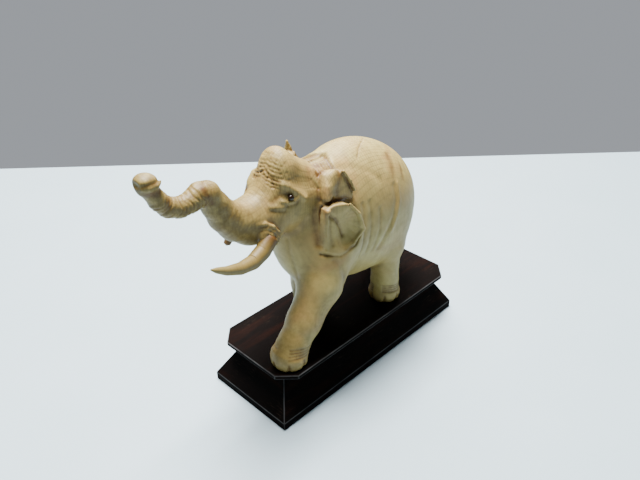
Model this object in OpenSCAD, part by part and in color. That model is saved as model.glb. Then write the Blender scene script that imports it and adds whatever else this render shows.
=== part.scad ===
// Carved walking elephant with a raised trunk, pegged to a two-stage hardwood stand.
// Origin: centre of the stand's underside. +Z is up, the elephant faces -X, its left side is -Y.

/* [Plinth] */
// Length of the plinth at the table
plinth_l = 100; // [90:1:120]
// Width of the plinth at the table
plinth_w = 38.8; // [36:0.2:48]
// Height of the plinth, which is also the height of its four rails
plinth_h = 15.5; // [12:0.5:20]
// Upright edge at the foot of each rail
plinth_edge = 3.2; // [1:0.2:5]
// How far the sloping faces come in on their way up
plinth_inset = 7; // [5:0.5:9]
// Width of each rail, measured at the table
rail_w = 11; // [10:0.5:12]

/* [Top board] */
// Length of the board that the elephant stands on
board_l = 95.6; // [90:0.2:100]
// Width of the board
board_w = 38.2; // [36:0.2:46]
// Thickness of the board
board_t = 5; // [4:0.5:7]
// Upright edge of the board, above the bevel on its underside
board_edge = 1.6; // [1:0.1:2.5]
// Length cut off each corner, measured along the sides
board_corner = 6; // [4:0.5:8]

/* [Pegs, tusks and eyes] */
// Diameter of the pegs that hold the feet
peg_d = 3; // [2:0.2:4]
// Length of a peg inside the foot
peg_in_foot = 5; // [3:0.5:7]
// Diameter of a tusk where it meets its socket
tusk_d = 5.2; // [4.4:0.2:5.6]
// Diameter of the tenon that holds a tusk in its socket
tenon_d = 3; // [2:0.2:3.6]
// Length of that tenon
tenon_l = 4.5; // [3:0.5:6]
// Diameter of the bead that forms each eye
eye_d = 2; // [1.6:0.1:2.4]

/* [Hidden] */

stand_h = plinth_h + board_t;
ivory = "#d9c79a";
ebony = "#2a1c16";
gap = 0.05;        // what a turned peg leaves free in its hole
limb_fn = 18;      // facets round a limb
body_fn = 36;      // facets round the body

// Everything on the elephant is given as [x, y, height above the board].
foot_front_left = [-38.5, -11];
foot_front_right = [-8.5, 9.5];
foot_hind_left = [14.8, -10];
foot_hind_right = [36, 9];

// Limbs are runs of balls, each [x, y, height, radius], from the body outwards.
leg_front_left = [
    [-14, -9, 38, 9.5], [-21.7, -10.5, 25, 7.8], [-30.6, -11, 13.5, 6.2], [-36, -11, 6.5, 5.9],
    [foot_front_left[0], foot_front_left[1], 1.8, 6.9],
];
leg_front_right = [
    [-12, 8, 36, 9], [-11, 9, 22, 7.4], [-9.5, 9.5, 9, 6],
    [foot_front_right[0], foot_front_right[1], 1.5, 6.4],
];
leg_hind_left = [
    [16, -7.5, 33, 9], [15.6, -9.5, 24, 6.7], [14.8, -10, 15, 5.3], [14.8, -10, 9, 5.2],
    [foot_hind_left[0], foot_hind_left[1], 1.8, 6.4],
];
leg_hind_right = [
    [22, 7, 32, 9.5], [30, 8.5, 21, 6.6], [34.5, 9, 10, 5.4],
    [foot_hind_right[0], foot_hind_right[1], 1.5, 5.8],
];
trunk = [
    [-36, 0, 57, 8.4], [-43, 0, 56, 7.3], [-48.5, 0, 57, 6.4], [-52.5, 0, 60.6, 5.2], [-55.2, 0, 65.8, 4.3],
    [-57.8, 0, 70.8, 3.7], [-60.8, 0, 71.6, 3.2], [-63.8, 0, 70.2, 3], [-67.5, 0, 70, 2.9],
    [-71.5, 0, 71.8, 2.9], [-74.2, 0, 74.9, 2.8], [-75.7, 0, 78.2, 2.8], [-77.3, 0, 81, 2.7],
];
tail = [[33, 0, 48, 1.8], [36, 1, 40, 1.5], [36.5, 2, 31, 1.3], [34.5, 3, 23, 1.6]];

// Each ear is a hanging lobe and a pointed flap folded over it, as balls [x, y, height, radius].
// The first ball of each stands inside the neck, which it grows out of.
lobe = [
    [-17, -9, 50, 3], [-22, -14, 56, 1.6], [-23, -14.5, 42, 1.6], [-19, -15.6, 40.4, 1.6],
    [-12.8, -16.8, 42, 1.6], [-9.8, -17.4, 45, 1.6], [-12, -17, 52, 1.6],
];
flap = [[-16, -7, 61, 2], [-18.6, -13, 60, 1.8], [-12.2, -14.6, 59, 1.8], [-14.2, -12.4, 67.4, 0.9]];

// The tusk curves forwards and out; its run starts at the mouth of the socket.
tusk_run = [
    [-41.5, -8.2, 51.5, 2.7], [-45.5, -9, 48.8, 2.7], [-50.5, -10, 47.6, 2.5],
    [-56, -10.8, 48.3, 2], [-61.5, -11.3, 50.4, 1.5], [-67, -11.5, 53.6, 0.7],
];
tusk_seat = [tusk_run[0][0], tusk_run[0][1], tusk_run[0][2]];
tusk_in = [3.5, 0.7, 2.3];      // the way a tenon runs back into the head
// The right tusk has lost most of its length, so only a blunt stump stands out of its socket.
stump_l = 7;
stump_out = [-3.6, -0.4, -6.4];
eye_at = [-32.4, -8.7, 62.6];

// Turns +Z to point along v.
module along(v) {
    rotate([0, acos(v[2] / norm(v)), atan2(v[1], v[0])]) children();
}

module blob(at, r) {
    translate(at) scale(r) sphere(1, $fn = body_fn);
}

module run(points, facets = limb_fn) {
    for (i = [0:len(points) - 2]) {
        hull() {
            for (p = [points[i], points[i + 1]])
                translate([p[0], p[1], p[2]]) sphere(p[3], $fn = facets);
        }
    }
}

module on_board() {
    translate([0, 0, stand_h]) children();
}

module ear() {
    for (part = [lobe, flap]) {
        hull() {
            for (p = part)
                translate([p[0], p[1], p[2]]) sphere(p[3], $fn = 12);
        }
    }
}

// The whole beast, before its sockets are drilled.
module body_mass() {
    blob([1, 0, 41.5], [25, 17.5, 27.5]);               // shoulders and ribs
    blob([13, 0, 38.4], [22.4, 17.5, 24]);              // rump
    hull() {
        blob([-15, 0, 40.5], [16.5, 14.5, 21.5]);       // chest
        blob([-18, 0, 56], [12, 10.5, 11.5]);           // neck
    }
    run(tail);
}

module head_mass() {
    hull() {
        blob([-27, 0, 62.5], [10, 9.8, 11]);            // skull
        blob([-30, 0, 70], [5.5, 7.4, 7.2]);            // dome of the forehead
        blob([-31, 0, 57], [9, 9.6, 8.5]);              // cheeks
    }
    hull() {
        blob([-31, 0, 54], [9.5, 9.6, 9.5]);            // jaw
        blob([-38.5, 0, 53.5], [6, 9.4, 7]);            // where the tusks stand
    }
}

module elephant_carving() {
    color(ivory)
    on_board()
    difference() {
        union() {
            body_mass();
            head_mass();
            run(trunk);
            run(leg_front_left);
            run(leg_front_right);
            run(leg_hind_left);
            run(leg_hind_right);
            ear();
            mirror([0, 1, 0]) ear();
        }
        translate([-60, -30, -20]) cube([120, 60, 20]); // soles cut flat on the board
        tusk_shape(gap);
        mirror([0, 1, 0]) stump_shape(gap);
        eye_socket();
        mirror([0, 1, 0]) eye_socket();
        for (p = [foot_front_left, foot_front_right, foot_hind_left, foot_hind_right])
            translate([p[0], p[1], -1])
                cylinder(h = peg_in_foot + 1 + gap, r = (peg_d / 2 + gap) / cos(180 / 24), $fn = 24);
    }
}

// Tenon at the root of a tusk, pointing back into the head.
module tenon(grow) {
    r = tenon_d / 2 + grow;
    translate(tusk_seat) along(tusk_in)
        cylinder(h = tenon_l + grow, r = grow > 0 ? r / cos(180 / 24) : r, $fn = grow > 0 ? 24 : 48);
}

module tusk_shape(grow) {
    for (i = [0:len(tusk_run) - 2]) {
        hull() {
            for (p = [tusk_run[i], tusk_run[i + 1]])
                translate([p[0], p[1], p[2]]) sphere(p[3] * tusk_d / 5.2 + grow, $fn = limb_fn);
        }
    }
    tenon(grow);
}

module stump_shape(grow) {
    tip = tusk_seat + stump_out * stump_l / norm(stump_out);
    hull() {
        translate(tusk_seat) sphere(tusk_d / 2 + grow, $fn = limb_fn);
        translate(tip) sphere(tusk_d / 2 - 0.5 + grow, $fn = limb_fn);
    }
    tenon(grow);
}

module eye_socket() {
    translate(eye_at) sphere(eye_d / 2 + gap, $fn = limb_fn);
}

module tusk_left() {
    color(ivory) on_board() tusk_shape(0);
}

module tusk_right() {
    color(ivory) on_board() mirror([0, 1, 0]) stump_shape(0);
}

module eye() {
    translate(eye_at) sphere(eye_d / 2, $fn = 40);
}

module eye_left() {
    color("#1a120c") on_board() eye();
}

module eye_right() {
    color("#1a120c") on_board() mirror([0, 1, 0]) eye();
}

// A turned peg runs up through the board into the foot.
module foot_peg(at) {
    color("#b89a63")
    translate([at[0], at[1], plinth_h]) cylinder(h = board_t + peg_in_foot, r = peg_d / 2, $fn = 48);
}

module foot_peg_front_left() { foot_peg(foot_front_left); }
module foot_peg_front_right() { foot_peg(foot_front_right); }
module foot_peg_hind_left() { foot_peg(foot_hind_left); }
module foot_peg_hind_right() { foot_peg(foot_hind_right); }

// Rectangle with its corners cut off, drawn inset from the board's outline.
module board_outline(inset) {
    l = board_l / 2 - inset;
    w = board_w / 2 - inset;
    c = board_corner - inset * 0.5;
    polygon([
        [-l + c, -w], [l - c, -w], [l, -w + c], [l, w - c],
        [l - c, w], [-l + c, w], [-l, w - c], [-l, -w + c],
    ]);
}

module stand_top_board() {
    under = (board_w - plinth_w) / 2 + plinth_inset;    // the bevel meets the plinth's waist
    color(ebony)
    translate([0, 0, plinth_h])
    difference() {
        hull() {
            translate([0, 0, board_t - board_edge]) linear_extrude(board_edge) board_outline(0);
            linear_extrude(0.01) board_outline(under);
        }
        for (p = [foot_front_left, foot_front_right, foot_hind_left, foot_hind_right])
            translate([p[0], p[1], -1]) cylinder(h = board_t + 2, r = peg_d / 2 + gap, $fn = 48);
    }
}

// One mitred rail of the plinth, along X on the -Y side: across is the plinth's size square to it.
module plinth_rail(long, across) {
    intersection() {
        translate([-long / 2, 0, 0]) rotate([90, 0, 90]) linear_extrude(long) polygon([
            [-across / 2, 0], [-across / 2, plinth_edge], [-across / 2 + plinth_inset, plinth_h],
            [-across / 2 + rail_w, plinth_h], [-across / 2 + rail_w, 0],
        ]);
        translate([0, 0, -1]) linear_extrude(plinth_h + 2) polygon([
            [-long / 2, -across / 2], [long / 2, -across / 2],
            [long / 2 - rail_w, -across / 2 + rail_w], [-long / 2 + rail_w, -across / 2 + rail_w],
        ]);
    }
}

module plinth_left_rail() { color(ebony) plinth_rail(plinth_l, plinth_w); }
module plinth_right_rail() { color(ebony) rotate([0, 0, 180]) plinth_rail(plinth_l, plinth_w); }
module plinth_front_rail() { color(ebony) rotate([0, 0, -90]) plinth_rail(plinth_w, plinth_l); }
module plinth_rear_rail() { color(ebony) rotate([0, 0, 90]) plinth_rail(plinth_w, plinth_l); }

elephant_carving();
tusk_left();
tusk_right();
eye_left();
eye_right();
foot_peg_front_left();
foot_peg_front_right();
foot_peg_hind_left();
foot_peg_hind_right();
stand_top_board();
plinth_left_rail();
plinth_right_rail();
plinth_front_rail();
plinth_rear_rail();
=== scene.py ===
import math

import bmesh
import bpy
import numpy as np
from mathutils import Matrix, Vector


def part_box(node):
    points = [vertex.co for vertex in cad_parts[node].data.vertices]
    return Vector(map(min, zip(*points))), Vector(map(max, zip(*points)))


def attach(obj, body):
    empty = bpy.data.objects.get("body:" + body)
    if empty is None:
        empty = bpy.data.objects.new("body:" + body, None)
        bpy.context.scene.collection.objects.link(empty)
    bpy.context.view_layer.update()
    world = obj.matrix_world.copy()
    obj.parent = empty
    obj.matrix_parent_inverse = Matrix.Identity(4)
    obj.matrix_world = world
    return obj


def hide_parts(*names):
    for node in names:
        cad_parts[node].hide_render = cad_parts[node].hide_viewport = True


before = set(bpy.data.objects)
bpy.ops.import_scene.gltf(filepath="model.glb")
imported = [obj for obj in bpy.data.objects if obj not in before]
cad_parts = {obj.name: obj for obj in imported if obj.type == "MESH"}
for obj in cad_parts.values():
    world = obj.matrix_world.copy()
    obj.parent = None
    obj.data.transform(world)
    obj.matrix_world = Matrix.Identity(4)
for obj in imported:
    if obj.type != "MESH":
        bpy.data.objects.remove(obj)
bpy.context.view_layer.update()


# ---------------------------------------------------------------- plinth rails
# The plinth is a frame of four ebony rails, planed to a slope above a narrow upright edge and
# glued at mitred corners. Years of handling have rounded their arrises and rubbed them paler;
# part of the grey along them is a painted highlight.
MM = 0.001
RAIL_WIDTH = 11
UPRIGHT_EDGE = 3.2
SLOPE_INSET = 7
ARRIS = 0.3
PLINTH_LOW, PLINTH_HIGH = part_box("plinth_left_rail")
PLINTH_LENGTH = (PLINTH_HIGH[0] - PLINTH_LOW[0]) / MM
PLINTH_WIDTH = -2 * PLINTH_LOW[1] / MM
PLINTH_TOP = PLINTH_HIGH[2] / MM


def linear(colour):
    """The linear colour that a shader takes, from six sRGB hex digits."""
    channels = [int(colour[i:i + 2], 16) / 255 for i in (0, 2, 4)]
    return (*[c / 12.92 if c <= 0.04045 else ((c + 0.055) / 1.055) ** 2.4 for c in channels], 1)


def wire(tree, node, inputs):
    """Sets a node's inputs. Each is a plain value, an output, or a node for its first output."""
    for key, value in inputs.items():
        if isinstance(value, bpy.types.Node):
            value = value.outputs[0]
        if isinstance(value, bpy.types.NodeSocket):
            tree.links.new(value, node.inputs[key])
        else:
            node.inputs[key].default_value = value


def add(tree, kind, inputs=None, **settings):
    """Adds a node, with its settings and its inputs."""
    made = tree.nodes.new(kind)
    for name, value in settings.items():
        setattr(made, name, value)
    wire(tree, made, inputs or {})
    return made


def placed(name, data):
    """A new object in the scene that shows this data."""
    made = bpy.data.objects.new(name, data)
    bpy.context.scene.collection.objects.link(made)
    return made


def new_material(name):
    """An empty material: its node tree, its shader, and itself."""
    made = bpy.data.materials.new(name)
    made.use_nodes = True
    return made, made.node_tree, made.node_tree.nodes["Principled BSDF"]


def ebony(name, grain):
    """Ebony, scraped and oiled: nearly black, with reddish-brown streaks along the grain.

    Long pores run with the grain, which is a direction (x, y, z); the arrises, marked by an
    attribute of the mesh, are rubbed paler and painted with a greyish highlight, and dust sits in the pores.
    """
    made, tree, shader = new_material(name)
    squeeze = [0.12 if part else 1 for part in grain]
    place = add(tree, "ShaderNodeTexCoord").outputs["Object"]
    along = add(tree, "ShaderNodeMapping", {"Vector": place, "Scale": squeeze})
    # Streaks about 4 mm wide, pores about 0.4 mm wide, and worn patches about 12 mm across.
    streaks = add(tree, "ShaderNodeTexNoise", {"Vector": along, "Scale": 250, "Detail": 4, "Distortion": 0.6})
    pores = add(tree, "ShaderNodeTexNoise", {"Vector": along, "Scale": 2200, "Detail": 3})
    patches = add(tree, "ShaderNodeTexNoise", {"Vector": place, "Scale": 85, "Detail": 5, "Roughness": 0.65})
    red, dusty, speck = (
        add(tree, "ShaderNodeMapRange", {"Value": value, "From Min": low, "From Max": high})
        for value, low, high in ((streaks, 0.5, 0.78), (patches, 0.52, 0.8), (pores, 0.56, 0.72)))
    specks = add(tree, "ShaderNodeMath", {0: dusty, 1: speck}, operation="MULTIPLY")
    arris_mark = add(tree, "ShaderNodeAttribute", attribute_name="arris_mark").outputs["Fac"]
    patchiness = add(tree, "ShaderNodeMapRange",
                     {"Value": patches, "From Min": 0.3, "From Max": 0.65, "To Min": 0.3, "To Max": 1})
    # Grey mixed onto the rounded arrises: partly real wear, partly a painted highlight.
    aged_tone_and_painted_light = add(tree, "ShaderNodeMath", {0: arris_mark, 1: patchiness}, operation="MULTIPLY")
    colour = linear("080504")
    for share, tone in ((red, "180a06"), (specks, "3c3026"), (aged_tone_and_painted_light, "4a4a4a")):
        colour = add(tree, "ShaderNodeMix", {0: share, 6: colour, 7: linear(tone)},
                     data_type="RGBA").outputs[2]
    gloss = add(tree, "ShaderNodeMapRange", {"Value": pores, "To Min": 0.6, "To Max": 0.85})
    bump = add(tree, "ShaderNodeBump", {"Height": pores, "Strength": 0.25, "Distance": 0.1 * MM})
    wire(tree, shader, {"Base Color": colour, "Roughness": gloss, "Normal": bump,
                        "Specular IOR Level": 0.02})
    return made


def solid(name, rings, arris, turn=0.0):
    """A closed solid through rings of corners in millimetres, its edges rounded by arris."""
    shape = bmesh.new()
    rows = [[shape.verts.new(corner) for corner in ring] for ring in rings]
    for low, high in zip(rows, rows[1:]):
        for i in range(len(low)):
            shape.faces.new((low[i - 1], low[i], high[i], high[i - 1]))
    shape.faces.new(rows[0][::-1])
    shape.faces.new(rows[-1])
    bmesh.ops.recalc_face_normals(shape, faces=shape.faces)
    rounded = set(bmesh.ops.bevel(shape, geom=shape.edges[:], offset=arris, segments=3, profile=0.5,
                                  affect="EDGES")["faces"])
    arris_mark = shape.verts.layers.float.new("arris_mark")
    for corner in shape.verts:
        corner[arris_mark] = all(face in rounded for face in corner.link_faces)
    bmesh.ops.triangulate(shape, faces=[face for face in shape.faces if len(face.verts) > 4])
    bmesh.ops.transform(shape, verts=shape.verts, matrix=Matrix.Rotation(math.radians(turn), 4, "Z"))
    bmesh.ops.scale(shape, verts=shape.verts, vec=(MM, MM, MM))
    mesh = bpy.data.meshes.new(name)
    shape.to_mesh(mesh)
    shape.free()
    # Only the small patches at the corners are shaded smooth.
    mesh.polygons.foreach_set("use_smooth", [len(face.vertices) == 4 and face.area < 2 * arris * MM ** 2
                                             for face in mesh.polygons])
    return placed(name, mesh)


def rail(name, long, across, turn):
    """One rail on the -Y side, as long as the plinth that way, then turned to its own side."""
    outer = -across / 2
    profile = [(outer, 0), (outer, UPRIGHT_EDGE), (outer + SLOPE_INSET, PLINTH_TOP),
               (outer + RAIL_WIDTH, PLINTH_TOP), (outer + RAIL_WIDTH, 0)]
    ends = [[(end * (long / 2 - (y - outer)), y, z) for y, z in profile] for end in (-1, 1)]
    return solid(name, ends, ARRIS, turn)


long_grain = ebony("ebony_grain_along_rail", (1, 0, 0))
cross_grain = ebony("ebony_grain_across_rail", (0, 1, 0))
for name, long, across, turn, finish in (
        ("left", PLINTH_LENGTH, PLINTH_WIDTH, 0, long_grain),
        ("right", PLINTH_LENGTH, PLINTH_WIDTH, 180, long_grain),
        ("front", PLINTH_WIDTH, PLINTH_LENGTH, -90, cross_grain),
        ("rear", PLINTH_WIDTH, PLINTH_LENGTH, 90, cross_grain)):
    piece = rail(f"{name}_rail", long, across, turn)
    piece.data.materials.append(finish)
    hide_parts(f"plinth_{name}_rail")
    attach(piece, "root")


# ---------------------------------------------------------------- top board
# A single ebony board with its corners cut off and its underside planed to a wide bevel, so
# that it meets the plinth at a narrow waist. It is glued on top of the four rails.
BOARD_EDGE = 1.6
BOARD_CORNER = 6
BOARD_ARRIS = 0.4
BOARD_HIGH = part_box("stand_top_board")[1]
BOARD_TOP = BOARD_HIGH[2] / MM


def board_outline(inset, height):
    """The board's outline, an oblong without its corners, drawn in by inset at a height."""
    x = BOARD_HIGH[0] / MM - inset
    y = BOARD_HIGH[1] / MM - inset
    cut = BOARD_CORNER - inset / 2
    return [(-x + cut, -y, height), (x - cut, -y, height), (x, -y + cut, height), (x, y - cut, height),
            (x - cut, y, height), (-x + cut, y, height), (-x, y - cut, height), (-x, -y + cut, height)]


under = BOARD_HIGH[1] / MM - PLINTH_WIDTH / 2 + SLOPE_INSET
board = solid("top_board", [board_outline(under, PLINTH_TOP), board_outline(0, BOARD_TOP - BOARD_EDGE),
                            board_outline(0, BOARD_TOP)], BOARD_ARRIS)
board.data.materials.append(long_grain)
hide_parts("stand_top_board")
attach(board, "root")


# ---------------------------------------------------------------- foot pegs
# A turned boxwood peg under each foot runs through the board and up into the sole, where it is
# glued. It is hidden except for its end, which shows inside the hollow plinth.
PEG_SUNK = 0.1
PEGS = ("foot_peg_front_left", "foot_peg_front_right", "foot_peg_hind_left", "foot_peg_hind_right")


def boxwood():
    """Boxwood, turned: pale yellow, with rings left by the tool every 0.6 mm."""
    made, tree, shader = new_material("turned_boxwood")
    place = add(tree, "ShaderNodeTexCoord").outputs["Object"]
    rings = add(tree, "ShaderNodeTexWave", {"Vector": place, "Scale": 500, "Distortion": 1.5, "Detail": 2},
                bands_direction="Z")
    grain = add(tree, "ShaderNodeTexNoise", {"Vector": place, "Scale": 900, "Detail": 3})
    colour = add(tree, "ShaderNodeMix", {0: grain, 6: linear("c8a868"), 7: linear("a58348")},
                 data_type="RGBA").outputs[2]
    bump = add(tree, "ShaderNodeBump", {"Height": rings.outputs[1], "Strength": 0.3, "Distance": 0.05 * MM})
    wire(tree, shader, {"Base Color": colour, "Normal": bump, "Roughness": 0.55})
    return made


def swept_tree(name, instanced):
    """Node tree that gives a curve its thickness; the curve's radius runs along it.

    Instanced, it makes one upright peg and sets it on every point of the mesh it is put on.
    """
    tree = bpy.data.node_groups.new(name, "GeometryNodeTree")
    face = tree.interface
    face.new_socket("Geometry", in_out="INPUT", socket_type="NodeSocketGeometry")
    for label, kind in (("Sides", "NodeSocketInt"), ("Rings", "NodeSocketInt"), ("Length", "NodeSocketFloat"),
                        ("Radius", "NodeSocketFloat"), ("Finish", "NodeSocketMaterial")):
        face.new_socket(label, in_out="INPUT", socket_type=kind)
    face.new_socket("Geometry", in_out="OUTPUT", socket_type="NodeSocketGeometry")
    given = add(tree, "NodeGroupInput").outputs
    share = add(tree, "GeometryNodeSplineParameter").outputs["Factor"]
    if instanced:
        top = add(tree, "ShaderNodeCombineXYZ", {"Z": given["Length"]})
        line = add(tree, "GeometryNodeCurvePrimitiveLine", {"End": top})
        curve = add(tree, "GeometryNodeResampleCurve", {"Curve": line, "Count": given["Rings"]})
        # Both ends are chamfered over a twelfth of the length.
        rise = add(tree, "ShaderNodeMapRange", {"Value": share, "From Max": 0.08, "To Min": 0.75})
        fall = add(tree, "ShaderNodeMapRange",
                   {"Value": share, "From Min": 1, "From Max": 0.92, "To Min": 0.75})
        chamfer = add(tree, "ShaderNodeMath", {0: rise, 1: fall}, operation="MINIMUM")
        radius = add(tree, "ShaderNodeMath", {0: chamfer, 1: given["Radius"]}, operation="MULTIPLY")
        curve = add(tree, "GeometryNodeSetCurveRadius", {"Curve": curve, "Radius": radius})
        scale = 1.0
    else:
        curve = add(tree, "GeometryNodeResampleCurve", {"Curve": given["Geometry"], "Count": given["Rings"]})
        scale = given["Radius"]
    marked = add(tree, "GeometryNodeStoreNamedAttribute",
                 {"Geometry": curve, "Name": "along", "Value": share}, data_type="FLOAT", domain="POINT")
    section = add(tree, "GeometryNodeCurvePrimitiveCircle", {"Resolution": given["Sides"], "Radius": scale})
    swept = add(tree, "GeometryNodeCurveToMesh",
                {"Curve": marked, "Profile Curve": section, "Fill Caps": True})
    if "Scale" in swept.inputs:
        wire(tree, swept, {"Scale": add(tree, "GeometryNodeInputRadius")})
    shape = add(tree, "GeometryNodeSetShadeSmooth", {"Geometry": swept})
    if instanced:
        shape = add(tree, "GeometryNodeInstanceOnPoints", {"Points": given["Geometry"], "Instance": shape})
    real = add(tree, "GeometryNodeRealizeInstances", {"Geometry": shape})
    painted = add(tree, "GeometryNodeSetMaterial", {"Geometry": real, "Material": given["Finish"]})
    add(tree, "NodeGroupOutput", {"Geometry": painted})
    return tree


def grown(name, source, tree, **inputs):
    """The plain mesh object that a node tree grows from a curve or a set of points."""
    holder = placed(name + "_source", source)
    modifier = holder.modifiers.new("grow", "NODES")
    modifier.node_group = tree
    for socket in tree.interface.items_tree:
        if socket.in_out == "INPUT" and socket.name in inputs:
            modifier[socket.identifier] = inputs[socket.name]
    bpy.context.view_layer.update()
    evaluated = holder.evaluated_get(bpy.context.evaluated_depsgraph_get())
    mesh = bpy.data.meshes.new_from_object(evaluated)
    bpy.data.objects.remove(holder)
    mesh.name = name
    return placed(name, mesh)


peg_low, peg_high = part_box(PEGS[0])
places = bpy.data.meshes.new("peg_places")
places.from_pydata([((low[0] + high[0]) / 2, (low[1] + high[1]) / 2, peg_low[2] - PEG_SUNK * MM)
                    for low, high in map(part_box, PEGS)], [], [])
pegs = grown("foot_pegs", places, swept_tree("turned_pegs", True), Sides=28, Rings=40,
             Length=peg_high[2] - peg_low[2], Radius=(peg_high[0] - peg_low[0]) / 2, Finish=boxwood())
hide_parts(*PEGS)
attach(pegs, "root")


# ---------------------------------------------------------------- elephant
# The elephant is carved from one block of a cream, close-grained material, rasped and scraped
# to a rounded body and polished, with its folds, wrinkles and toes cut in by a small gouge.
# It is worked as a distance field in millimetres, with heights measured from the board's top.
# Seen from its own side a cut is narrow, but it reaches deep, by the share SEEN_THROUGH.
SEEN_THROUGH = 0.94
FAR_OUT = 30.0


def from_line(at, a, b):
    """How far from a to b the nearest place to each point lies, 0 to 1, and the point's offset."""
    along = b - a
    share = np.clip((at - a) @ along / (along @ along), 0, 1)
    return share, at - a - share[..., None] * along


class Carving:
    """A distance field built up by adding, cutting and engraving, one stroke after another.

    Its side is -1 while the left side is worked, and 1 for the right.
    """

    def __init__(self):
        self.strokes = []
        self.side = -1

    def over(self, points):
        """Points given for the left side, turned over while the right side is worked."""
        return [(x, -self.side * y, *rest) for x, y, *rest in points]

    def stroke(self, kind, shape, low, high, size):
        self.strokes.append((kind, shape, np.array(low, float), np.array(high, float), size))

    def ball(self, centre, radii, blend=4.0, turn=(0, 0, 0), cut=False):
        """An ellipsoid, turned about X, Y and Z by degrees."""
        centre = np.array(centre, float)
        radii = np.array(radii, float)
        turned = np.array(Matrix.Rotation(math.radians(turn[2]), 3, "Z")
                          @ Matrix.Rotation(math.radians(turn[1]), 3, "Y")
                          @ Matrix.Rotation(math.radians(turn[0]), 3, "X"))

        def distance(points):
            local = (points - centre) @ turned
            inside = np.sqrt(((local / radii) ** 2).sum(-1))
            slope = np.sqrt(((local / radii ** 2) ** 2).sum(-1))
            return inside * (inside - 1) / np.maximum(slope, 1e-6)

        reach = radii.max()
        self.stroke("cut" if cut else "add", distance, centre - reach, centre + reach, blend)

    def limb(self, points, blend=3.0, joint=1.2, cut=False):
        """A run of tapering rods through points given as (x, y, z, radius)."""
        points = self.over(points)
        for start, stop in zip(points, points[1:]):
            a, b = np.array(start[:3], float), np.array(stop[:3], float)

            def distance(at, a=a, b=b, ra=start[3], rb=stop[3]):
                share, off = from_line(at, a, b)
                return np.sqrt((off ** 2).sum(-1)) - (ra + (rb - ra) * share)

            reach = max(start[3], stop[3])
            self.stroke("cut" if cut else "add", distance, np.minimum(a, b) - reach,
                        np.maximum(a, b) + reach, blend if start is points[0] else joint)

    def sheet(self, outline, middle, thick, soft, low, high, blend):
        """A bent sheet: its outline is in (x, z), and it lies middle(x, z) out from the midplane."""
        outline = [np.array(corner, float) for corner in outline]
        side = self.side

        def distance(at):
            flat = at[..., [0, 2]]
            edge = np.full(flat.shape[:-1], 1e9)
            inside = np.zeros(flat.shape[:-1], bool)
            for a, b in zip(outline, outline[1:] + outline[:1]):
                edge = np.minimum(edge, (from_line(flat, a, b)[1] ** 2).sum(-1))
                if a[1] != b[1]:
                    spans = (a[1] <= flat[..., 1]) != (b[1] <= flat[..., 1])
                    cross = a[0] + (flat[..., 1] - a[1]) / (b[1] - a[1]) * (b[0] - a[0])
                    inside ^= spans & (flat[..., 0] < cross)
            rim = np.where(inside, -np.sqrt(edge), np.sqrt(edge)) + soft
            face = np.abs(at[..., 1] - side * middle(flat[..., 0], flat[..., 1])) - thick / 2 + soft
            outside = np.sqrt(np.maximum(rim, 0) ** 2 + np.maximum(face, 0) ** 2)
            return outside + np.minimum(np.maximum(rim, face), 0) - soft

        near, away = sorted((side * low[1], side * high[1]))
        self.stroke("add", distance, (low[0], near, low[2]), (high[0], away, high[2]), blend)

    def groove(self, points, width, depth, facing=(0, -1, 0), stain_and_shade=0.0):
        """A line cut in with its patina, or raised for a negative depth, as seen along facing; in a few cuts
        the stain is painted shadow.
        """
        points = np.array(self.over(points), float)
        facing = np.array(facing, float) / np.linalg.norm(facing)

        def profile(at):
            best = np.full(at.shape[:-1], 1e9)
            for a, b in zip(points, points[1:]):
                off = from_line(at, a, b)[1]
                best = np.minimum(best, (off ** 2).sum(-1) - SEEN_THROUGH * (off @ facing) ** 2)
            return np.exp(-best / width ** 2)

        margin = 2.5 * width + 4 * np.abs(facing)
        self.stroke("engrave", profile, points.min(0) - margin, points.max(0) + margin, (depth, stain_and_shade))

    def at(self, points, room=3.0):
        """Distance to the surface at each point, and how much patina has stayed there, with the painted
        shadow of a few cuts.
        """
        flat = points.reshape(-1, 3)
        field = np.full(len(flat), FAR_OUT)
        patina_and_shade = np.zeros(len(flat))
        lowest, highest = flat.min(0), flat.max(0)
        for kind, shape, low, high, size in self.strokes:
            margin = 0 if kind == "engrave" else room + size
            if (low - margin > highest).any() or (high + margin < lowest).any():
                continue
            near = np.all((flat > low - margin) & (flat < high + margin), -1)
            if not near.any():
                continue
            value = shape(flat[near])
            if kind == "engrave":
                field[near] += size[0] * value
                patina_and_shade[near] = np.maximum(patina_and_shade[near], size[1] * value)
            elif kind == "add":
                field[near] = soft_min(field[near], value, size)
            else:
                field[near] = -soft_min(-field[near], value, size)
        return field.reshape(points.shape[:-1]), patina_and_shade


def soft_min(a, b, blend):
    """The lower of two distances, with the line where they meet filled to a fillet."""
    overlap = np.maximum(blend - np.abs(a - b), 0) / blend
    return np.minimum(a, b) - overlap ** 2 * blend / 4


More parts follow.
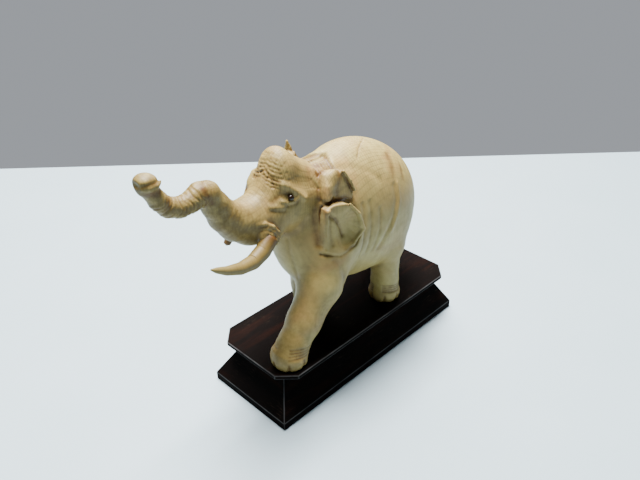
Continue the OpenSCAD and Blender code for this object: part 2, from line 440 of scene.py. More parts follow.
def skin(carving, low, high, step, board=0.0):
    """Surface of the field above the board: a corner in each grid cell it crosses, and quads."""
    low = np.array(low, float)
    size = 16
    reach = size * step
    blocks = np.ceil((np.array(high) - low) / reach).astype(int)
    cell = step * np.arange(size)
    grid = np.stack(np.meshgrid(cell, cell, cell, indexing="ij"), -1)
    field = np.empty(blocks * size, np.float32)
    middles = low + (np.indices(blocks).reshape(3, -1).T + 0.5) * reach
    rough = carving.at(middles, room=1.5 * reach)[0]
    for block, distance in zip(np.ndindex(*blocks), rough):
        place = tuple(slice(size * b, size * (b + 1)) for b in block)
        if abs(distance) > 1.5 * reach:
            field[place] = distance
        else:
            field[place] = carving.at(low + reach * np.array(block) + grid)[0]
    heights = low[2] + step * np.arange(field.shape[2])
    field = np.maximum(field, (board - heights).astype(np.float32))
    inside = field < 0
    cells = np.array(field.shape) - 1
    total = np.zeros((*cells, 3), np.float32)
    hits = np.zeros(cells, np.float32)
    for corner in np.ndindex(2, 2, 2):
        for axis in range(3):
            if corner[axis]:
                continue
            other = [*corner]
            other[axis] = 1
            here = tuple(slice(c, c + n) for c, n in zip(corner, cells))
            there = tuple(slice(c, c + n) for c, n in zip(other, cells))
            crossed = inside[here] != inside[there]
            share = field[here][crossed] / (field[here][crossed] - field[there][crossed])
            spot = np.tile(np.array(corner, np.float32), (len(share), 1))
            spot[:, axis] += share
            total[crossed] += spot
            hits[crossed] += 1
    used = hits > 0
    number = np.full(cells, -1)
    number[used] = np.arange(used.sum())
    corners = (np.argwhere(used) + total[used] / hits[used][:, None]) * step + low
    quads = []
    for axis in range(3):
        u, v = (axis + 1) % 3, (axis + 2) % 3
        here = [slice(1, -1)] * 3
        here[axis] = slice(0, -1)
        there = list(here)
        there[axis] = slice(1, None)
        a, b = inside[tuple(here)], inside[tuple(there)]
        for leaving, order in ((a & ~b, (0, 1, 2, 3)), (~a & b, (3, 2, 1, 0))):
            cell = np.argwhere(leaving)
            cell[:, u] += 1
            cell[:, v] += 1
            ring = []
            for du, dv in ((0, 0), (1, 0), (1, 1), (0, 1)):
                at = cell.copy()
                at[:, u] -= du
                at[:, v] -= dv
                ring.append(number[at[:, 0], at[:, 1], at[:, 2]])
            quads.append(np.stack([ring[i] for i in order], 1))
    return corners, np.concatenate(quads)


elephant = Carving()

# Barrel of the body, high at the shoulders and falling away to the rump.
elephant.ball((1, 0, 41.7), (25, 17, 27), 6)
elephant.ball((13, 0, 38.6), (22, 17, 23.4), 8)
elephant.ball((-15, 0, 40.5), (16, 14, 21), 8)
elephant.ball((-17, 0, 56), (11.5, 10.5, 11), 6)

# Legs, each planted in mid stride, and the tail lying against the right hock.
elephant.limb([(-14, -8.5, 38, 9), (-21.7, -10.5, 25, 7.6), (-30.9, -11, 13.5, 5.9),
               (-36.2, -11, 6.8, 5.4), (-38.5, -11, 3, 6.9)], 6, 2.5)
elephant.limb([(-12, 8, 36, 9), (-11, 9, 22, 7.2), (-9.5, 9.5, 9, 5.8), (-8.5, 9.5, 2.8, 6.4)], 6, 2.5)
elephant.limb([(16, -7, 33, 8.4), (15.4, -9.5, 24, 6.4), (14.6, -10, 15, 5),
               (14.8, -10, 9, 5), (14.8, -10, 2.8, 6.3)], 5, 2.5)
elephant.limb([(22, 7, 32, 9), (29.5, 8.5, 21, 6.4), (34.5, 9, 10, 5.2), (36, 9, 2.6, 5.8)], 6, 2.5)
elephant.limb([(33, 0, 48, 1.8), (35.6, 1, 40, 1.5), (36, 2, 31, 1.3), (35, 3, 24, 1.5),
               (34.5, 3.4, 19, 0.6)], 2, 0.8)

# Head: domed skull, broad cheeks, and the trunk's root between the tusk sockets.
elephant.ball((-26.5, 0, 62), (9, 9.3, 10), 4)
elephant.ball((-29.8, 0, 69.8), (4.7, 6.5, 6.6), 3.5)
elephant.ball((-31, 0, 56.5), (8.5, 9.2, 9), 4)
elephant.limb([(-31.5, 0, 66.5, 4.6), (-35.5, 0, 61.4, 4.8)], 5, 1.4)
elephant.ball((-37.5, 0, 52.5), (5.8, 8.4, 7), 3)
trunk = [(-36, 0, 57, 7.8), (-43.2, 0, 56, 7), (-48.4, 0, 57.3, 6.1), (-52.4, 0, 61, 5),
         (-55.2, 0, 65.8, 4.2), (-57.6, 0, 70.6, 3.7), (-60.4, 0, 71.6, 3.3), (-63.6, 0, 70.2, 3),
         (-67.5, 0, 70, 2.9), (-71.2, 0, 71.6, 2.8), (-73.8, 0, 74.6, 2.6), (-75.1, 0, 77.2, 2.4)]
elephant.limb(trunk, 2, 1.6)
# The lower lip, under the trunk's root.
elephant.ball((-43, 0, 52.4), (6.2, 6.4, 5), 2.5)
# The trunk's tip: a swollen lip above a raised collar, with a pointed finger behind.
elephant.limb([(-75.1, 0, 77.2, 2.4), (-76.4, 0, 79.8, 3.1)], 1, 1)
elephant.ball((-76.9, 0, 81.6), (3.1, 3.4, 2.3), 2, turn=(0, 12, 0))
elephant.limb([(-73.6, -1.6, 80.7, 0.6), (-75.2, -2.6, 80.8, 0.8), (-77.2, -2.8, 80.7, 0.8),
               (-79, -1.8, 80.7, 0.5)], 0.7, 0.5)
elephant.limb([(-74.8, 0.4, 79.6, 1.2), (-71.8, 0.6, 79.8, 0.3)], 0.8, 0.5)
elephant.groove([(-74, -2.8, 81.8), (-76.4, -3.2, 82), (-79, -2.4, 81.8)], 0.6, 0.3, (-0.3, -1, 0.2), 0.7)
elephant.groove([(-74.6, -2.8, 78.4), (-76, -3, 78.6), (-77.8, -2.4, 79)], 1.3, 0.15, (-0.3, -1, 0), 0.95)
elephant.ball((-80.6, 0, 81.8), (1.2, 1.7, 0.9), 1, turn=(0, 10, 0), cut=True)


# What both sides share is given for the left side, and turned over for the right.
lobe = [(-22.8, 56.2), (-19.5, 57.2), (-15.4, 56.6), (-12.6, 54.9), (-10.2, 52), (-8.6, 48.6),
        (-7.9, 44.9), (-9.4, 42.4), (-12.2, 40.5), (-15.2, 39.3), (-18.4, 38.8), (-23.4, 40.2), (-23.6, 47)]
for side in (-1, 1):
    elephant.side = side
    # Folds of the neck lead back to the ear, which stands out of a hollow behind the cheek.
    elephant.ball((-18, side * 5.5, 63), (4.5, 4, 3.6), 2.5)
    elephant.ball((-15.5, side * 11, 61), (4.6, 2.6, 6), 2)
    elephant.limb([(-22.4, -14.2, 59, 0.6), (-24.4, -14.2, 54, 1.1), (-24.8, -14.4, 46, 1.1),
                   (-24.2, -14.6, 40, 0.6)], 1.4, 0.8, cut=True)
    elephant.ball((-15.5, side * 11.4, 57), (6.4, 1.9, 2.6), 1)
    fold = [(-19.3, 66.4), (-15, 66.4), (-12.9, 66), (-16.1, 63.4), (-17.7, 61.4), (-18.8, 57.7),
            (-21.4, 57.6), (-20.6, 63)]
    elephant.sheet(fold, lambda x, z: 12.9 - 0.28 * np.maximum(z - 57.7, 0) - 0.5 * np.maximum(z - 63, 0),
                   3, 0.7, (-23, 5, 55), (-10, 16, 69), 1.6)
    flap = [(-18.8, 57.4), (-17.7, 61.9), (-16.1, 63.9), (-12.7, 66.6), (-10.7, 62.9), (-8.8, 58.5),
            (-9.8, 55.5), (-15, 56.8)]
    elephant.sheet(flap, lambda x, z: 12.3 - 0.2 * (z - 60), 3, 0.6, (-21, 7, 53), (-6, 20, 72), 0.6)
    # The brown down the flap's left half is painted shade in its recess.
    elephant.groove([(-13.9, -12.4, 65), (-15.9, -12.4, 61.8), (-17, -12.4, 58.4)], 2, 0.3, stain_and_shade=0.9)
    elephant.groove([(-12, -13.4, 64.6), (-10.8, -14.2, 61.6), (-10.2, -15, 58.4)], 0.45, 0.3, stain_and_shade=0.2)
    elephant.limb([(-12.5, -12.8, 66, 0.5), (-10.6, -13.8, 62.4, 0.6), (-9.1, -14.6, 58.6, 0.5)], 0.7, 0.5)
    if side > 0:
        elephant.limb([(-13.2, -12.8, 63.6, 1.7), (-13.7, -12.4, 67, 1.2), (-14.3, -12.2, 70, 0.35)],
                      0.6, 0.5)
    elephant.sheet(lobe, lambda x, z: 12.7 + 0.31 * (x + 24), 2.8, 0.5, (-26.5, 8, 36.5), (-6, 21, 60), 0.5)
    elephant.ball((-16, side * 18.9, 47.2), (5.6, 3.6, 8), 0.9, turn=(0, -8, 0), cut=True)
    # Thick front rim with its knob, thin turned rear rim, and the curved valleys inside.
    elephant.limb([(-22.1, -14.6, 55.4, 1.2), (-22.5, -14.4, 51, 0.8), (-22.7, -14.2, 46, 0.7),
                   (-22, -14.4, 40.6, 0.5)], 0.6, 0.5)
    elephant.limb([(-14.2, -17.4, 56.2, 0.4), (-10.8, -18.3, 51.6, 0.6), (-8.7, -18.7, 45, 0.6),
                   (-12.4, -17.5, 40.5, 0.5), (-18.4, -15.6, 39.1, 0.5), (-22.8, -14.4, 40.4, 0.4)], 0.5, 0.5)
    for width, depth, stain_and_shade, cut in (
            (0.8, 0.6, 0.85, [(-21.6, -14.6, 53.8), (-19.2, -15.2, 51.8), (-17, -15.6, 48.4),
                              (-15.9, -15.8, 44.2)]),
            # This row and the next: the brown in the valley behind the rim and in the cut between flap and
            # lobe is painted shadow.
            (0.7, 0.25, 0.3, [(-20.9, -14.8, 53), (-21.1, -14.6, 48), (-20.4, -14.8, 42.4)]),
            (0.75, 0.6, 1, [(-22.6, -13.6, 57.4), (-18.6, -14.4, 58.2), (-13.6, -15.4, 57.4),
                            (-10, -16, 54.8)]),
            (1.1, 0.5, 1, [(-22.4, -13.6, 57.4), (-23.6, -12.8, 55), (-24.1, -12.8, 50), (-24, -12.8, 42.6)]),
            (0.6, 0.55, 0.45, [(-23.8, -14, 39.2), (-18.4, -15.4, 37.8), (-11.8, -17, 39.6), (-7, -18, 44.6),
                               (-9.6, -17.8, 52.4)])):
        elephant.groove(cut, width, depth, stain_and_shade=stain_and_shade)
    for ray in range(7):
        lean = math.radians(-62 + 19 * ray)
        heart = np.array((-17.2, -16.6, 50))
        tip = heart + 7.2 * np.array((math.cos(lean), 0, -math.sin(lean) - 0.35))
        elephant.groove([heart + 0.35 * (tip - heart), tip], 0.4, 0.08, stain_and_shade=0.15)

    if side > 0:
        # The right side of the face is fuller, and hides the bead from the left.
        elephant.ball((-34, 6.2, 61.4), (3.6, 3.4, 5.4), 2)
    # Eye: a brow hangs over the bead, which sits in a narrow hollow with a lid and a bag under it.
    elephant.ball((-33.1, side * 9.4, 62.8), (1.9, 1, 0.8), 1, turn=(0, 14, 0), cut=True)
    for width, depth, stain_and_shade, cut in (
            (1.3, -0.9, 0, [(-33.4, -7, 66.8), (-32.4, -7.8, 66.1), (-30.8, -8.6, 64.8), (-28.7, -9.3, 62.9),
                            (-27.4, -9.6, 61)]),
            (0.75, -0.45, 0, [(-35.2, -7.8, 61.9), (-34, -8.7, 61.3), (-32, -9.3, 61), (-30.2, -9.5, 61.7)]),
            (0.9, -0.28, 0, [(-39.2, -6.4, 61), (-37.4, -7.4, 60.5), (-35.4, -8.2, 60)]),
            (0.85, 0.25, 1, [(-38, -7.1, 62.2), (-36.6, -7.4, 62.9), (-35, -8.2, 63.6), (-33, -8.8, 63.8)]),
            (0.6, 0.16, 0.45, [(-29.6, -9.8, 60.8), (-31.4, -9.8, 60), (-33.6, -9.2, 60)]),
            (0.6, 0.16, 0.35, [(-39.2, -7, 59.6), (-37, -8, 59), (-34.8, -8.8, 58.6)])):
        elephant.groove(cut, width, depth, stain_and_shade=stain_and_shade)
    # Hollow of the temple behind the dome, and the hatching in it.
    elephant.ball((-24.6, side * 10.8, 67.6), (4.5, 3, 4.6), 4, cut=True)
    for hatch in range(8):
        x = -28.6 + 0.95 * hatch
        elephant.groove([(x, -8, 68.4 - 0.5 * hatch), (x + 0.9, -9.4, 65.2 - 0.5 * hatch)],
                        0.4, 0.22, (0.1, side, 0.3), 0.6)
    # Three folds of the lip lie round the root of the tusk.
    elephant.ball((-42.4, side * 7.2, 52.6), (2.8, 2, 2.4), 1.2)
    for lip in (
            [(-44.8, -6.4, 57), (-42.6, -7.5, 56.9), (-40.4, -8.5, 55.3), (-38.7, -8.9, 52.8),
             (-38.2, -9, 50.6)],
            [(-44.2, -6.7, 55.7), (-42.2, -7.9, 55.4), (-40.5, -8.8, 53.7), (-39.3, -9.1, 51.2),
             (-39, -9.1, 49.6)],
            [(-44.2, -6.9, 54.3), (-42.8, -8, 54.2), (-41.6, -8.9, 52.9), (-40.4, -9.3, 50.8),
             (-40, -9.3, 49.2)]):
        elephant.limb([(*point, size) for point, size in zip(lip, (0.3, 0.5, 0.6, 0.5, 0.3))], 1, 0.6)
        elephant.groove(lip, 0.6, -0.15)
        elephant.groove([(x + 0.1, y - 0.6, z - 0.8) for x, y, z in lip[:4]], 0.45, 0.12, stain_and_shade=0.6)
elephant.side = -1

# Rows of short cuts slant down from the middle of the forehead to each side.
scatter = np.random.default_rng(5)
for row in range(10):
    height = 67 + 1.15 * row
    reach = 36 - 0.16 * max(row - 3, 0) ** 1.6
    for side in (-1, 1):
        for part in range(4 if row > 2 else 3):
            start = 0.2 + 1.9 * part + scatter.uniform(-0.4, 0.4)
            end = start + scatter.uniform(1.3, 2.1)
            drop = height - 0.45 * part + scatter.uniform(-0.3, 0.3)
            elephant.groove([(-reach, side * start, drop),
                             (-reach + 0.06 * end ** 2, side * end, drop - 0.7)],
                            scatter.uniform(0.34, 0.44), 0.24, (-1, side * 0.5, 0.35),
                            scatter.uniform(0.6, 1))
            elephant.groove([(-reach, side * start, drop + 0.8), (-reach, side * (start + 0.7), drop)],
                            0.34, 0.14, (-1, side * 0.5, 0.35), 0.7)
# Folds across the neck, where the raised head presses the skin together.
for fold in range(6):
    x = -17.6 + 1.45 * fold
    for side in (-1, 1):
        elephant.groove([(x + 1.6, 0, 66.8), (x + 0.4, side * 2.4, 66.5), (x - 0.6, side * 4.6, 65.7),
                         (x - 1.4, side * 7.2, 64)], 0.85, 0.9, (0.1, side * 0.3, 1), 1)


def rings(path, pitch, depth, stain_and_shade):
    """Rings cut round a curving limb, one every pitch along its path, uneven as if by hand."""
    path = np.array([p[:3] for p in path], float)

    def profile(at):
        best = np.full(at.shape[:-1], 1e9)
        travel = np.zeros(at.shape[:-1])
        travelled = 0.0
        for a, b in zip(path, path[1:]):
            length = np.linalg.norm(b - a)
            share, off = from_line(at, a, b)
            away = (off ** 2).sum(-1)
            nearer = away < best
            best = np.where(nearer, away, best)
            travel = np.where(nearer, travelled + share * length, travel)
            travelled += length
        wander = 0.3 * np.sin(at[..., 1] * 1.1) + 0.25 * np.sin(at[..., 2] * 1.7 + 1)
        wave = 0.5 + 0.5 * np.cos(2 * np.pi * (travel + wander) / pitch)
        uneven = 0.7 + 0.3 * np.sin(travel * 2.9 + at[..., 1] * 0.7)
        fade = np.clip(travel / 2, 0, 1) * np.clip((travelled - travel) / 2, 0, 1)
        return wave ** 2 * fade * uneven

    elephant.stroke("engrave", profile, path.min(0) - 7, path.max(0) + 7, (depth, stain_and_shade))


rings(trunk[:7], 1.4, 0.07, 0.22)
rings(trunk[5:], 1.3, 0.26, 0.8)

# Toes and ankle wrinkles: each foot's middle, radius, heading in degrees, and forward lean.
for x, y, radius, heading, lean in ((-38.5, -11, 6.9, 200, 0.45), (-8.5, 9.5, 6.4, 180, -0.1),
                                    (14.8, -10, 6.4, 195, 0), (36, 9, 5.8, 180, -0.2)):
    for cleft in (-78, -26, 26, 78):
        turn = math.radians(heading + cleft)
        out = np.array((math.cos(turn), math.sin(turn), 0))
        foot = np.array((x, y, 0)) + out * radius * 0.98
        elephant.limb([(*foot, 0.8), (*(foot + out * 0.1 + (0, 0, 2)), 0.4),
                       (*(foot + out * 0.2 + (0, 0, 3.4)), 0.15)], 0.6, 0.5, cut=True)
        elephant.groove([foot, foot + (0, 0, 3.4)], 0.5, 0.1, out, 0.9)
    for wrinkle in range(4):
        height = 4.8 + 0.95 * wrinkle
        for start, stop in ((-160, -115), (-95, -30), (20, 95), (112, 160)):
            arc = np.radians(heading + np.linspace(start, stop, 6))
            elephant.groove([(x + lean * (height - 3) + radius * 0.92 * math.cos(a),
                              y + radius * 0.92 * math.sin(a), height + 0.5 * math.sin(2 * a)) for a in arc],
                            0.38, 0.28, (math.cos(arc[2]), math.sin(arc[2]), 0), 0.8)

# Soft folds: over the shoulder, down the flank to the thigh, and along the chest and foreleg.
for side in (-1, 1):
    elephant.side = side
    for width, depth, stain_and_shade, cut in (
            (1.2, 0.22, 0.08, [(-12, -8, 65.4), (-5, -10.4, 64.2), (1, -12.6, 61), (4.6, -14.6, 57.4)]),
            (1.2, 0.4, 0.18, [(11, -15.6, 53), (10.4, -17, 47.6), (8, -17.8, 42), (5, -17.8, 37.6),
                              (2, -16.8, 32)]),
            (1, -0.3, 0, [(12.6, -15.6, 53), (12, -17, 47.6), (9.8, -17.8, 42), (7, -17.8, 37)]),
            (0.8, 0.3, 0.3, [(-5.6, -16.4, 52), (-6.4, -17.4, 42), (-8.6, -17, 33)]),
            (0.7, 0.22, 0.25, [(-2.4, -16.4, 52), (-2.8, -17.4, 42), (-4.4, -17, 33)]),
            (0.7, 0.2, 0.2, [(1.6, -17, 48), (1, -17.6, 40), (-1.2, -17, 32)]),
            (1.3, 0.5, 0.25, [(-20.4, -17, 37), (-17.4, -17, 30), (-17, -15, 24)])):
        elephant.groove(cut, width, depth, (0, side, 0.3), stain_and_shade)
    elephant.groove([(-30.6, -4, 44), (-30.4, -5, 36), (-29.4, -6.4, 29)],
                    0.8, 0.2, (-1, side * 0.4, 0), 0.15)
elephant.side = -1
# Growth layers show as ovals on the outside of the left foreleg.
for wide, tall in ((1.1, 2.6), (2.2, 4.6), (3.3, 6.6)):
    oval = [(-27 + wide * math.cos(a) + 0.45 * tall * math.sin(a), -17, 18.4 + tall * math.sin(a))
            for a in np.radians(np.arange(0, 361, 30))]
    elephant.groove(oval, 0.6, 0.03, (0, -1, 0), 0.4)
# Old cracks and stains in the back, on the left side only.
elephant.groove([(10.7, -0.7, 66.5), (5.1, -4.3, 67), (2.3, -5.9, 66.6), (-0.5, -7.9, 65.1)],
                0.35, 0.16, (0, -0.2, 1), 0.6)
elephant.groove([(14, -8.9, 61.6), (13, -11.7, 59), (11.6, -13.9, 56.3)], 1.3, 0.08, (0.2, -0.6, 0.8), 0.75)
elephant.groove([(19, -11.1, 56.7), (17.3, -14, 53)], 1.1, 0.08, (0.3, -0.6, 0.7), 0.7)
elephant.groove([(-60.5, -2, 74), (-58.6, -3.4, 69.4)], 1.1, 0.12, (-0.2, -1, 0.3), 1)
elephant.groove([(-71.5, -2.4, 75), (-73, -2.6, 73)], 1.4, 0.1, (0, -1, 0.2), 0.9)

FINE_STEP, QUICK_STEP = 0.33, 0.62
ROOM_LOW, ROOM_HIGH = (-84, -25, -1), (45, 25, 88)
TRIANGLES = 190_000
NEAR, FAR = 0.8, 2.4
PULL = 0.3
STRIPS = 60
step = FINE_STEP
corners, quads = skin(elephant, ROOM_LOW, ROOM_HIGH, step)
rough_mesh = bpy.data.meshes.new("carving_rough")
rough_mesh.from_pydata(corners.tolist(), [], quads.tolist())
rough = placed("carving_rough", rough_mesh)
thin = rough.modifiers.new("thin", "DECIMATE")
thin.ratio = min(1, TRIANGLES / (2 * len(quads)))
bpy.context.view_layer.update()
carving_mesh = bpy.data.meshes.new_from_object(rough.evaluated_get(bpy.context.evaluated_depsgraph_get()))
bpy.data.objects.remove(rough)
carving_mesh.name = "carving"

# Each corner is pulled onto the true surface, by no more than PULL, and told how hollow the place
# round it is, from the field NEAR and FAR millimetres out from it.
count = len(carving_mesh.vertices)
corners = np.empty(count * 3)
normals = np.empty(count * 3)
carving_mesh.vertices.foreach_get("co", corners)
carving_mesh.vertices.foreach_get("normal", normals)
corners, normals = corners.reshape(-1, 3), normals.reshape(-1, 3)


def field_at(points):
    """The field and patina, with its painted shadow, at many points, worked through in strips along the body.
    """
    order = np.argsort(points[:, 0])
    field, patina_and_shade = np.empty(len(points)), np.empty(len(points))
    for strip in np.array_split(order, STRIPS):
        field[strip], patina_and_shade[strip] = elephant.at(points[strip])
    return field, patina_and_shade


standing = corners[:, 2] > step
field, patina_and_shade = field_at(corners)
corners -= normals * (np.clip(field, -PULL, PULL) * standing)[:, None]
# The crease and hollow measures are used to paint shade into the carving's colour.
crease, hollow = (np.clip(1 - field_at(corners + normals * out)[0] / out, -1, 1) for out in (NEAR, FAR))
corners = (corners + (0, 0, BOARD_TOP)) * MM
carving_mesh.vertices.foreach_set("co", corners.ravel())
for label, value in (("patina_and_shade", patina_and_shade), ("crease", crease), ("hollow", hollow)):
    carving_mesh.attributes.new(label, "FLOAT", "POINT").data.foreach_set("value", value.astype(np.float32))
carving_mesh.polygons.foreach_set("use_smooth", [True] * len(carving_mesh.polygons))
carving = placed("carving", carving_mesh)


def polished_cream(name, marked, snapped=False):
    """The carving's cream material, scraped smooth and polished to a soft satin.

    It lets a little light in. Growth layers about 2 mm apart stand across its long axis, and age
    has left tan and pinkish clouds about 20 mm across. Brown patina stays in the cuts and hollows
    that the mesh marks, and the hollows and creases are darkened further as painted shade; the
    ridges are paler, partly rubbed and partly a painted highlight, and the head and trunk are darker,
    partly patina and partly painted shade. A tusk is darkest at its root, and a snapped one at its broken
    end.
    """
    made, tree, shader = new_material(name)
    place = add(tree, "ShaderNodeTexCoord").outputs["Object"]
    clouds, mottle, blush, fine, sway = (
        add(tree, "ShaderNodeTexNoise", {"Vector": place, "Scale": scale, "Detail": detail,
                                         "Roughness": roughness, "Distortion": distortion})
        for scale, detail, roughness, distortion in ((48, 4, 0.55, 0), (320, 5, 0.65, 0), (70, 2, 0.5, 0.8),
                                                     (1500, 3, 0.5, 0), (45, 1, 0.5, 0)))
    # Growth layers, one every 2 mm along the body, bent by noise.
    bent = add(tree, "ShaderNodeMapping",
               {"Vector": place, "Rotation": (0, 0.5, 0.3), "Scale": (1, 0.35, 0.25)})
    swayed = add(tree, "ShaderNodeVectorMath", {0: sway.outputs["Color"], 1: (16 * MM, 16 * MM, 16 * MM)},
                 operation="MULTIPLY")
    bent = add(tree, "ShaderNodeVectorMath", {0: bent, 1: swayed}, operation="ADD")
    layers = add(tree, "ShaderNodeTexWave", {"Vector": bent, "Scale": 150, "Distortion": 1.5, "Detail": 2,
                                             "Detail Scale": 0.5}, bands_direction="X")
    layer = add(tree, "ShaderNodeMapRange", {"Value": layers.outputs[1], "To Min": 0, "To Max": 0.13})
    cloud = add(tree, "ShaderNodeMapRange", {"Value": clouds, "From Min": 0.35, "From Max": 0.7})
    pink = add(tree, "ShaderNodeMapRange",
               {"Value": blush, "From Min": 0.56, "From Max": 0.75, "To Max": 0.5})
    # Old grime lies thinly over everything, in spots 1 to 3 mm across.
    grime = add(tree, "ShaderNodeMapRange",
                {"Value": mottle, "From Min": 0.4, "From Max": 0.7, "To Max": 0.5})
    # Handling keeps the patina off the ridges, which are also painted paler as a highlight, and lets it
    # thicken towards the trunk's end, where the darker colour is partly painted shade.
    uneven = add(tree, "ShaderNodeMapRange",
                 {"Value": mottle, "From Min": 0.3, "From Max": 0.7, "To Min": 0.45 if marked else 0.5})
    if marked:
        patina_and_shade, crease, hollow = (add(tree, "ShaderNodeAttribute", attribute_name=label).outputs["Fac"]
                                  for label in ("patina_and_shade", "crease", "hollow"))
        # Hollows and creases are darkened brown: partly the patina lying in them, partly painted shade.
        shallow = add(tree, "ShaderNodeMapRange",
                      {"Value": hollow, "From Min": 0.03, "From Max": 0.6, "To Max": 0.75})
        deep = add(tree, "ShaderNodeMapRange", {"Value": crease, "From Min": 0.08, "From Max": 0.5})
        split = add(tree, "ShaderNodeSeparateXYZ", {"Vector": place})
        # The head and trunk, turned from the light, are darkened: partly patina, partly painted shade.
        ahead = add(tree, "ShaderNodeMapRange",
                    {"Value": split.outputs["X"], "From Min": -24 * MM, "From Max": -50 * MM, "To Max": 0.95})
        aged_tone_and_painted_light = add(tree, "ShaderNodeMath", {0: shallow, 1: ahead}, operation="MAXIMUM")
        aged_tone_and_painted_light = add(tree, "ShaderNodeMath", {0: aged_tone_and_painted_light, 1: uneven}, operation="MULTIPLY")
        # Patina in the cuts, together with painted shade in the narrow creases.
        stain_and_shade = add(tree, "ShaderNodeMath", {0: patina_and_shade, 1: deep}, operation="MAXIMUM")
        # Ridges are lighter: partly rubbed by handling, partly a painted highlight.
        ridge = add(tree, "ShaderNodeMapRange",
                    {"Value": crease, "From Min": -0.05, "From Max": -0.45, "To Max": 0.3})
        # Hatching: two sets of fine cuts 1 mm apart, at right angles, on the upper back.
        across, down = (add(tree, "ShaderNodeTexWave", {"Vector": place, "Scale": 300, "Distortion": 1.2,
                                                        "Detail Scale": 0.4}, bands_direction=axis).outputs[1]
                        for axis in ("X", "Y"))
        net = add(tree, "ShaderNodeMath", {0: across, 1: down}, operation="MINIMUM")
        cut = add(tree, "ShaderNodeMapRange", {"Value": net, "From Max": 0.16, "To Min": 0.6, "To Max": 0})
        upper = add(tree, "ShaderNodeMapRange",
                    {"Value": split.outputs["Z"], "From Min": 66 * MM, "From Max": 84 * MM})
        upper = add(tree, "ShaderNodeMath", {0: upper, 1: uneven}, operation="MULTIPLY")
        cut = add(tree, "ShaderNodeMath", {0: cut, 1: upper}, operation="MULTIPLY")
    else:
        along = add(tree, "ShaderNodeAttribute", attribute_name="along").outputs["Fac"]
        aged_tone_and_painted_light = add(tree, "ShaderNodeMapRange",
                   {"Value": along, "From Min": 0.55, "From Max": 0.05, "To Min": 0.75, "To Max": 0.95})
        stain_and_shade = add(tree, "ShaderNodeMapRange", {"Value": along, "From Min": 0.15 if snapped else 0.25,
                                                 "From Max": 0.4 if snapped else 0.1})
        ridge = add(tree, "ShaderNodeMapRange",
                    {"Value": along, "From Min": 0.7, "From Max": 1, "To Max": 0.4})
        cut = add(tree, "ShaderNodeMapRange",
                  {"Value": layers.outputs[1], "From Max": 0.15, "To Min": 0.3, "To Max": 0})
    stain_and_shade = add(tree, "ShaderNodeMath", {0: stain_and_shade, 1: uneven}, operation="MULTIPLY")
    colour = linear("a6965b")
    for share, tone in ((cloud, "997d47"), (layer, "715e33"), (pink, "956b44"), (grime, "78693b"),
                        (ridge, "c2b47a"), (cut, "5c4f30"), (aged_tone_and_painted_light, "5c4a22"), (stain_and_shade, "4c2c0c")):
        colour = add(tree, "ShaderNodeMix", {0: share, 6: colour, 7: linear(tone)},
                     data_type="RGBA").outputs[2]
    gloss = add(tree, "ShaderNodeMapRange", {"Value": mottle, "To Min": 0.38, "To Max": 0.6})
    height = add(tree, "ShaderNodeMath", {0: fine, 1: cut}, operation="SUBTRACT")
    bump = add(tree, "ShaderNodeBump", {"Height": height, "Strength": 0.35, "Distance": 0.12 * MM})
    wire(tree, shader, {"Base Color": colour, "Roughness": gloss, "Normal": bump, "IOR": 1.54,
                        "Specular IOR Level": 0.22, "Subsurface Weight": 0.06,
                        "Subsurface Radius": (1, 0.85, 0.4), "Subsurface Scale": 1.5 * MM})
    return made


carving.data.materials.append(polished_cream("aged_polished_carving", True))
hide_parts("elephant_carving")
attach(carving, "root")


# ---------------------------------------------------------------- tusks
# Each tusk is a separate piece of the same material, turned and filed to a curving taper and
# glued by a round tenon into a hole behind the lip. The right one has snapped off short.
# Each run gives the middle (x, y, z) and the radius, for the left side.
TUSK_SEAT = (-41.5, -8.2, 51.5)
TENON_END = (-38.3, -7.6, 53.6)
tenon = [(*TENON_END, 1.4), (-40.7, -8.05, 52, 1.45)]
left_run = [*tenon, (*TUSK_SEAT, 2.6), (-45.5, -9, 48.8, 2.7),
            (-50.5, -10, 47.6, 2.45), (-56, -10.8, 48.3, 2), (-61.5, -11.3, 50.4, 1.45),
            (-65.2, -11.5, 52.5, 0.95), (-67.2, -11.5, 53.7, 0.25)]
right_run = [*tenon, (*TUSK_SEAT, 2.5), (-43, -8.6, 48.6, 1.9),
             (-44.8, -9, 45.8, 1.5), (-45.9, -9.2, 43.9, 1.2), (-46.2, -9.2, 43.4, 0.3)]
tusk_tree = swept_tree("tusk_taper", False)
tusk_finish = polished_cream("aged_polished_tusk", False)
stump_finish = polished_cream("aged_snapped_tusk", False, snapped=True)
for side, name, run, finish in ((-1, "tusk_left", left_run, tusk_finish),
                                (1, "tusk_right", right_run, stump_finish)):
    line = bpy.data.curves.new(name + "_line", "CURVE")
    line.dimensions = "3D"
    line.twist_mode = "MINIMUM"
    spline = line.splines.new("POLY")
    spline.points.add(len(run) - 1)
    for point, (x, y, z, radius) in zip(spline.points, run):
        point.co = (x * MM, -side * y * MM, (z + BOARD_TOP) * MM, 1)
        point.radius = radius
    piece = grown(name + "_shaped", line, tusk_tree, Sides=36, Rings=90, Radius=MM, Finish=finish)
    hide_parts(name)
    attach(piece, "root")


# ---------------------------------------------------------------- eyes
# Each eye is a small glass bead, very dark brown, pressed and glued into a drilled hollow.
def bead_glass():
    """Near-black glass, dulled by handling, with faint brown clouds about 1 mm across."""
    made, tree, shader = new_material("dark_brown_bead")
    place = add(tree, "ShaderNodeTexCoord").outputs["Object"]
    edge = add(tree, "ShaderNodeLayerWeight", {"Blend": 0.35}).outputs["Facing"]
    cloud = add(tree, "ShaderNodeTexNoise", {"Vector": place, "Scale": 900, "Detail": 2})
    tint = add(tree, "ShaderNodeMix", {0: cloud, 6: linear("0b0705"), 7: linear("24150b")},
               data_type="RGBA").outputs[2]
    gloss = add(tree, "ShaderNodeMapRange", {"Value": edge, "To Min": 0.22, "To Max": 0.35})
    wire(tree, shader, {"Base Color": tint, "Roughness": gloss, "Specular IOR Level": 0.3})
    return made


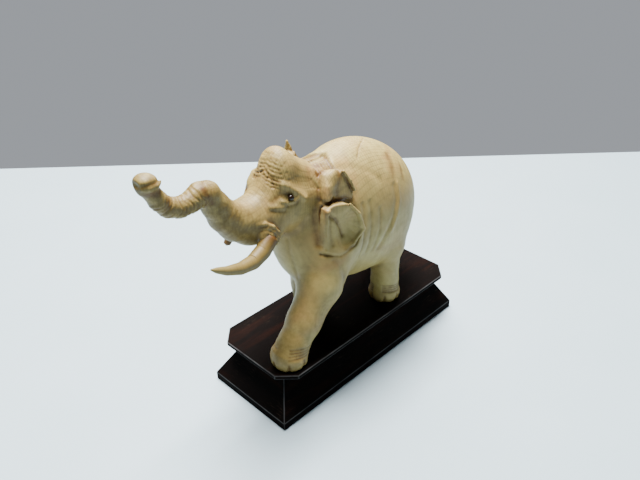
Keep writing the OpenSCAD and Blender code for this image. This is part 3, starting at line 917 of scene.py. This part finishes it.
bead_finish = bead_glass()
for name in ("eye_left", "eye_right"):
    low, high = (np.array(corner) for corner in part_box(name))
    middle, radius = (low + high) / 2, (high[0] - low[0]) / 2
    side = -1 if middle[1] < 0 else 1
    # Turned section of the bead, flat back to rounded front: (out from the axis, along it).
    section = [(0, -0.92), (0.35, -0.92), (0.6, -0.78)] + [
        (math.sin(math.radians(a)), -math.cos(math.radians(a))) for a in range(50, 176, 9)] + [(0, 0.985)]
    bead = bmesh.new()
    rows = []
    for out, depth in section:
        ring = [(out * math.cos(a), depth, out * math.sin(a)) for a in np.radians(np.arange(0, 360, 12))]
        rows.append([bead.verts.new(middle + radius * np.array((p[0], side * p[1], p[2]))) for p in ring])
    for inner, outer in zip(rows, rows[1:]):
        for i in range(len(inner)):
            bead.faces.new((inner[i - 1], inner[i], outer[i], outer[i - 1]))
    bmesh.ops.remove_doubles(bead, verts=bead.verts, dist=0.01 * MM)
    bmesh.ops.recalc_face_normals(bead, faces=bead.faces)
    mesh = bpy.data.meshes.new(name + "_bead")
    bead.to_mesh(mesh)
    bead.free()
    mesh.polygons.foreach_set("use_smooth", [True] * len(mesh.polygons))
    mesh.materials.append(bead_finish)
    piece = placed(name + "_bead", mesh)
    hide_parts(name)
    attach(piece, "root")


# ---------------------------------------------------------------- studio
# A pale, faintly blue table top, an even grey background, and soft light from above and behind.
def table_top():
    """Painted board, pale and matt, with a mottle too faint to read as a pattern."""
    made, tree, shader = new_material("pale_table")
    place = add(tree, "ShaderNodeTexCoord").outputs["Object"]
    mottle = add(tree, "ShaderNodeTexNoise", {"Vector": place, "Scale": 25, "Detail": 3})
    colour = add(tree, "ShaderNodeMix", {0: mottle, 6: linear("93a6ad"), 7: linear("9bacb3")},
                 data_type="RGBA").outputs[2]
    wire(tree, shader, {"Base Color": colour, "Roughness": 0.6})
    return made


# The table is a slab; its far edge passes close behind the elephant, square to the view.
SLAB = 25
HALF_TABLE = 1400
TABLE_DEPTH = 2000
TABLE_ARRIS = 1.5
edge, run, front = Vector((121, 130)), Vector((0.72, -0.69)), Vector((-0.69, -0.72))
outline = [edge + HALF_TABLE * along * run + TABLE_DEPTH * out * front
           for along, out in ((-1, 0), (1, 0), (1, 1), (-1, 1))]
floor = solid("table", [[(*corner, height) for corner in outline] for height in (-SLAB, 0)], TABLE_ARRIS)
floor.data.materials.append(table_top())

world = bpy.data.worlds.new("studio")
world.use_nodes = True
backdrop = world.node_tree.nodes["Background"]
backdrop.inputs["Color"].default_value = linear("c3c8cf")
# The background is seen brighter than it lights the table.
seen = add(world.node_tree, "ShaderNodeLightPath").outputs["Is Camera Ray"]
glow = add(world.node_tree, "ShaderNodeMapRange", {"Value": seen, "To Min": 0.1, "To Max": 0.65})
wire(world.node_tree, backdrop, {"Strength": glow})
bpy.context.scene.world = world
# Both lamps are aimed at the middle of the elephant.
AIM = Vector((0, 0, 0.05))
for name, place, size, power in (("window", (0.30, 0.34, 0.55), 0.6, 12.5),
                                 ("overhead", (0, 0.12, 0.8), 0.3, 36)):
    lamp = placed(name, bpy.data.lights.new(name, "AREA"))
    lamp.data.energy = power
    lamp.data.size = size
    lamp.location = place
    lamp.rotation_euler = (AIM - lamp.location).to_track_quat("-Z", "Y").to_euler()

# Camera: seen from the front left, a little above the elephant.
camera = placed("camera", bpy.data.cameras.new("camera"))
bpy.context.scene.camera = camera
camera.data.sensor_width = 36
camera.data.lens = 37.3
camera.data.clip_start = 0.005
azimuth, elevation, roll = (math.radians(a) for a in (-44.8, 31.85, -1.1))
camera.matrix_world = (Matrix.Translation(Vector((-156.1, -145.9, 181.8)) * MM)
                       @ Matrix.Rotation(azimuth, 4, "Z")
                       @ Matrix.Rotation(math.pi / 2 - elevation, 4, "X")
                       @ Matrix.Rotation(roll, 4, "Z"))
